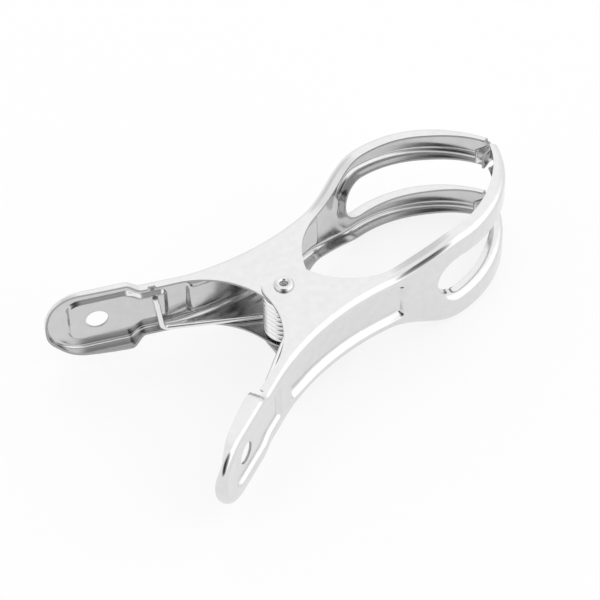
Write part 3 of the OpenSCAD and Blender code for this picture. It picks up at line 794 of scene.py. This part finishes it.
class ClothespinInnerLever(bpy.types.Operator):
    """Builds the lever whose cheeks lie inside"""

    bl_idname = "clothespin.inner_lever"
    bl_label = "Inner lever"

    def execute(self, context):
        w = context.scene.clothespin_wire
        lever = inner_shape()
        rims = (lever.tip_rim, lever.hook_rim)
        obj = build_lever("inner_lever_stamping", lever, rims, w.rivet / 2 + w.tight_play, 1)
        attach(obj, "inner_body")
        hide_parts("inner_lever")
        return {"FINISHED"}


class ClothespinOuterLever(bpy.types.Operator):
    """Builds the lever whose cheeks lap over the others"""

    bl_idname = "clothespin.outer_lever"
    bl_label = "Outer lever"

    def execute(self, context):
        w = context.scene.clothespin_wire
        lever = outer_shape()
        rims = (lever.slit_rim, lever.tip_rim)
        obj = build_lever("outer_lever_stamping", lever, rims, w.rivet / 2 + w.turning_play, -1)
        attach(obj, "outer_body")
        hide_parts("outer_lever")
        return {"FINISHED"}


# Segments round the wire, along one turn of the coil and along an elbow
WIRE_SEGMENTS = 20
TURN_SEGMENTS = 48
ELBOW_SEGMENTS = 10
# Width of the broken edge at a cut end, in wires
CUT_BEVEL = 1 / 12


def wire_circle(bm, centre, along, radius):
    """Starts a wire with a round face across it."""
    turn = along.to_track_quat("Z", "Y").to_matrix().to_4x4()
    made = bmesh.ops.create_circle(
        bm, cap_ends=True, segments=WIRE_SEGMENTS, radius=radius, matrix=Matrix.Translation(centre) @ turn)
    return made["verts"][0].link_faces[0]


def draw_on(bm, face, step):
    """Draws the wire on in a straight line and gives its new end."""
    made = bmesh.ops.extrude_discrete_faces(bm, faces=[face])["faces"][0]
    bmesh.ops.translate(bm, vec=step, verts=made.verts)
    return made


def wind_on(bm, face, centre, axis, angle, rise, steps):
    """Winds the wire on round an axis and gives its new end."""
    made = bmesh.ops.spin(
        bm, geom=[face], cent=centre, axis=axis, angle=angle, dvec=rise / steps, steps=steps,
        use_merge=False)
    return next(g for g in made["geom_last"] if isinstance(g, bmesh.types.BMFace))


def cut_end(bm, wire):
    """Closes the wire's open end with a matt cut face and breaks that face's edge."""
    rim = [e for e in bm.edges if e.is_boundary]
    cap = bmesh.ops.holes_fill(bm, edges=rim, sides=0)["faces"][0]
    cap.material_index = 1
    bmesh.ops.bevel(
        bm, geom=cap.edges[:], offset=wire * CUT_BEVEL, offset_type="OFFSET", segments=2, profile=0.5,
        affect="EDGES", material=-1)


class ClothespinSpring(bpy.types.Operator):
    """Winds the torsion spring: its coil and two legs"""

    bl_idname = "clothespin.spring"
    bl_label = "Torsion spring"

    def execute(self, context):
        w = context.scene.clothespin_wire
        lever = inner_shape()
        up = Vector((0, 0, 1))
        elbow = lever.at(lever.end - w.leg_from_end - w.leg_lean, 0, w.leg_depth)
        angle = math.atan2(elbow.y, elbow.x) - math.acos(w.coil / elbow.length)
        sweep = 2 * math.pi * w.turns + 2 * angle
        rise = w.pitch * sweep / (2 * math.pi)
        start = Vector((w.coil * math.cos(angle), w.coil * math.sin(angle), -rise / 2))
        tip = lever.at(lever.end - w.leg_from_end, 0, w.leg_depth) + up * w.leg_tip
        corner = elbow - up * (rise / 2 + w.leg_drop)
        to_tip, to_coil = (tip - corner).normalized(), (start - corner).normalized()
        bend = math.pi - to_tip.angle(to_coil)
        back = w.elbow * math.tan(bend / 2)
        hinge = to_tip.cross(to_coil).normalized()
        pivot = corner + (to_tip + to_coil).normalized() * w.elbow / math.cos(bend / 2)

        coil = bmesh.new()
        first = wire_circle(coil, start, Vector((math.sin(angle), -math.cos(angle), 0)), w.wire / 2)
        wind_on(coil, first, (0, 0, 0), (0, 0, -1), sweep, up * rise, TURN_SEGMENTS * w.turns)
        legs = []
        for turned in (False, True):
            bm = bmesh.new()
            face = wire_circle(bm, tip, -to_tip, w.wire / 2)
            face = draw_on(bm, face, corner + to_tip * back - tip)
            turned_on = wind_on(bm, face, pivot, -hinge, bend, Vector(), ELBOW_SEGMENTS)
            # The elbow's first face would be left as a wall inside the wire
            bmesh.ops.delete(bm, geom=[face], context="FACES_ONLY")
            draw_on(bm, turned_on, start - corner - to_coil * back)
            cut_end(bm, w.wire)
            if turned:
                over = Matrix.Rotation(math.pi, 3, "X")
                bmesh.ops.rotate(bm, cent=(0, 0, 0), matrix=over, verts=bm.verts)
            legs.append(bm)
        for bm in (coil, *legs):
            bmesh.ops.remove_doubles(bm, verts=bm.verts, dist=WELD)
            bmesh.ops.recalc_face_normals(bm, faces=bm.faces)
        obj = finished("spring_coil", coil, [spring_steel()], ROUND_SHARP)
        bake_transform(obj)
        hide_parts("torsion_spring")
        for name, bm, body in (
            ("spring_inner_leg", legs[0], "inner_body"), ("spring_outer_leg", legs[1], "outer_body")):
            obj = finished(name, bm, [spring_steel(), steel_rim()], ROUND_SHARP)
            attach(obj, body)
            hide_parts("torsion_spring")
        return {"FINISHED"}


# Lift of a rolled head's ring above its seat, in ring radii, and segments over the head and round the rivet
HEAD_LIFT = 0.2
HEAD_SEGMENTS = 20
RIVET_SEGMENTS = 64
# Faces no further than this outside the bore's radius are its wall
BORE_MARGIN = 0.01 * MM


class ClothespinRivet(bpy.types.Operator):
    """Turns the tubular rivet with its two rolled heads"""

    bl_idname = "clothespin.rivet"
    bl_label = "Rivet"

    def execute(self, context):
        w = context.scene.clothespin_wire
        seat = outer_shape().waist + w.head_gap
        ring = (w.head - w.bore) / 4
        lift = HEAD_LIFT * ring
        middle = (w.bore + w.head) / 4
        low = -math.asin(lift / ring)
        profile = [(w.bore / 2, 0.0)]
        profile += [
            (middle + ring * math.cos(a), seat + lift + ring * math.sin(a))
            for a in spread(math.pi, low, HEAD_SEGMENTS)]
        profile += [(w.rivet / 2, seat), (w.rivet / 2, 0.0)]
        bm = bmesh.new()
        verts = [bm.verts.new((x, 0, z)) for x, z in profile]
        edges = [bm.edges.new(pair) for pair in zip(verts, verts[1:])]
        bmesh.ops.spin(
            bm, geom=verts + edges, cent=(0, 0, 0), axis=(0, 0, 1), angle=2 * math.pi, steps=RIVET_SEGMENTS,
            use_merge=True)
        bmesh.ops.mirror(bm, geom=bm.verts[:] + bm.edges[:] + bm.faces[:], merge_dist=WELD, axis="Z")
        bmesh.ops.remove_doubles(bm, verts=bm.verts, dist=WELD)
        bmesh.ops.recalc_face_normals(bm, faces=bm.faces)
        for face in bm.faces:
            if all(v.co.xy.length < w.bore / 2 + BORE_MARGIN for v in face.verts):
                face.material_index = 1
        obj = finished("rolled_rivet", bm, [rivet_steel(), rivet_inside()], ROUND_SHARP)
        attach(obj, "inner_body")
        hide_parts("pivot_rivet")
        return {"FINISHED"}


# Share of the floor's brightness that it has of itself
GLOW_SHARE = 0.8


def pale_paper():
    # Sheet of white paper, dead matt. To the eye and in the metal it is partly as bright as a lit sweep,
    # so that it looks white and still takes a light shadow.
    material = bpy.data.materials.new("white_paper_sweep")
    material.use_nodes = True
    tree = material.node_tree
    shader = tree.nodes["Principled BSDF"]
    shader.inputs["Base Color"].default_value = bpy.context.scene.clothespin_look.floor
    shader.inputs["Roughness"].default_value = 0.95
    shader.inputs["Specular IOR Level"].default_value = 0.0
    path = node(tree, "ShaderNodeLightPath")
    seen = node(
        tree, "ShaderNodeMath", {0: (path, "Is Camera Ray"), 1: (path, "Is Glossy Ray")}, operation="MAXIMUM")
    seen = node(
        tree, "ShaderNodeMath", {0: (seen, "Value"), 1: (path, "Is Transmission Ray")}, operation="MAXIMUM")
    part = node(tree, "ShaderNodeMath", {0: (seen, "Value")}, {1: GLOW_SHARE}, operation="MULTIPLY")
    glow = node(tree, "ShaderNodeEmission", values={"Color": (1, 1, 1, 1), "Strength": 1.0})
    mixed = node(
        tree, "ShaderNodeMixShader", {0: (part, "Value"), 1: (shader, "BSDF"), 2: (glow, "Emission")})
    tree.links.new(mixed.outputs["Shader"], tree.nodes["Material Output"].inputs["Surface"])
    return material


# Level of the white room, and its zones: direction, degrees to the soft edge and to the full zone, and the
# light added
ROOM_LEVEL = 1.06
ROOM = (
    ((0.43, -0.80, 0.25), 68, 37, 0.36),
    ((-0.60, -0.74, 0.50), 42, 18, -1.02),
    ((0.43, 0.53, 0.73), 44, 14, 0.1),
    ((-0.15, 0.75, 0.65), 32, 8, -0.3),
)


def studio():
    """A white room with two brighter and two darker zones, which the metal mirrors."""
    world = bpy.data.worlds.new("white_room")
    world.use_nodes = True
    tree = world.node_tree
    sky = tree.nodes["Background"]
    sky.inputs["Color"].default_value = (1, 1, 1, 1)
    place = node(tree, "ShaderNodeTexCoord")
    level = node(tree, "ShaderNodeValue")
    level.outputs["Value"].default_value = ROOM_LEVEL
    for direction, edge, full, light in ROOM:
        facing = node(
            tree, "ShaderNodeVectorMath", {0: (place, "Generated")}, {1: Vector(direction).normalized()},
            operation="DOT_PRODUCT")
        zone = node(
            tree, "ShaderNodeMapRange", {"Value": (facing, "Value")},
            {"From Min": math.cos(math.radians(edge)), "From Max": math.cos(math.radians(full)),
             "To Max": light},
            interpolation_type="SMOOTHSTEP")
        level = node(tree, "ShaderNodeMath", {0: (level, "Value"), 1: (zone, "Result")}, operation="ADD")
    path = node(tree, "ShaderNodeLightPath")
    white = node(
        tree, "ShaderNodeMix", {"Factor": (path, "Is Camera Ray"), "A": (level, "Value")}, {"B": 1.0},
        data_type="FLOAT")
    tree.links.new(white.outputs["Result"], sky.inputs["Strength"])
    return world


# Half the floor's side in metres
FLOOR_HALF = 20
# The camera, fitted to the levers' outlines: azimuth, elevation and roll in degrees, then its place, lens
# and sensor in millimetres
CAMERA_TURN = (39.041, 47.045, -1.998)
CAMERA_PLACE = (-268.08, -336.50, 465.30)
LENS = 156.545
SENSOR = 36


class ClothespinStage(bpy.types.Operator):
    """Sets the pale floor, the soft light and the camera"""

    bl_idname = "clothespin.stage"
    bl_label = "Stage"

    def execute(self, context):
        scene = context.scene
        bm = bmesh.new()
        bmesh.ops.create_grid(bm, x_segments=1, y_segments=1, size=FLOOR_HALF)
        bmesh.ops.translate(bm, vec=(0, 0, cad_box[0].z), verts=bm.verts)
        floor = finished("floor", bm, [pale_paper()], SHEET_SHARP)
        scene.world = studio()

        azimuth, elevation, roll = (math.radians(a) for a in CAMERA_TURN)
        right = Vector((math.cos(azimuth), -math.sin(azimuth), 0))
        ahead = Vector((math.sin(azimuth), math.cos(azimuth), 0))
        look_along = math.cos(elevation) * ahead - Vector((0, 0, math.sin(elevation)))
        up = right.cross(look_along)
        axes = Matrix((
            math.cos(roll) * right + math.sin(roll) * up,
            math.cos(roll) * up - math.sin(roll) * right,
            -look_along)).transposed().to_4x4()
        data = bpy.data.cameras.new("camera")
        data.sensor_width = SENSOR
        data.lens = LENS
        data.clip_start, data.clip_end = 0.01, 100
        camera = bpy.data.objects.new("camera", data)
        camera.matrix_world = Matrix.Translation(Vector(CAMERA_PLACE) * MM) @ axes
        scene.collection.objects.link(camera)
        scene.camera = camera
        scene.view_settings.view_transform = "Standard"
        return {"FINISHED"}


class ClothespinPanel(bpy.types.Panel):
    """Lists the steps that build the clothespin"""

    bl_idname = "VIEW3D_PT_clothespin"
    bl_label = "Clothespin"
    bl_space_type = "VIEW_3D"
    bl_region_type = "UI"
    bl_category = "Clothespin"

    def draw(self, context):
        for operator in OPERATORS:
            self.layout.operator(operator.bl_idname)
        for name in GROUPS:
            group = getattr(context.scene, name)
            box = self.layout.box()
            for key in group.bl_rna.properties.keys():
                if key not in ("rna_type", "name"):
                    box.prop(group, key)


OPERATORS = (ClothespinStage, ClothespinInnerLever, ClothespinOuterLever, ClothespinSpring, ClothespinRivet)
GROUPS = {
    "clothespin_sheet": ClothespinSheet,
    "clothespin_wire": ClothespinWire,
    "clothespin_look": ClothespinLook,
}


def register():
    for kind in (*GROUPS.values(), *OPERATORS, ClothespinPanel):
        bpy.utils.register_class(kind)
    for name, kind in GROUPS.items():
        setattr(bpy.types.Scene, name, PointerProperty(type=kind))


def unregister():
    for name in GROUPS:
        delattr(bpy.types.Scene, name)
    for kind in (ClothespinPanel, *reversed(OPERATORS), *GROUPS.values()):
        bpy.utils.unregister_class(kind)


def main():
    register()
    bpy.ops.clothespin.stage()
    bpy.ops.clothespin.inner_lever()
    bpy.ops.clothespin.outer_lever()
    bpy.ops.clothespin.spring()
    bpy.ops.clothespin.rivet()


if __name__ == "__main__":
    main()
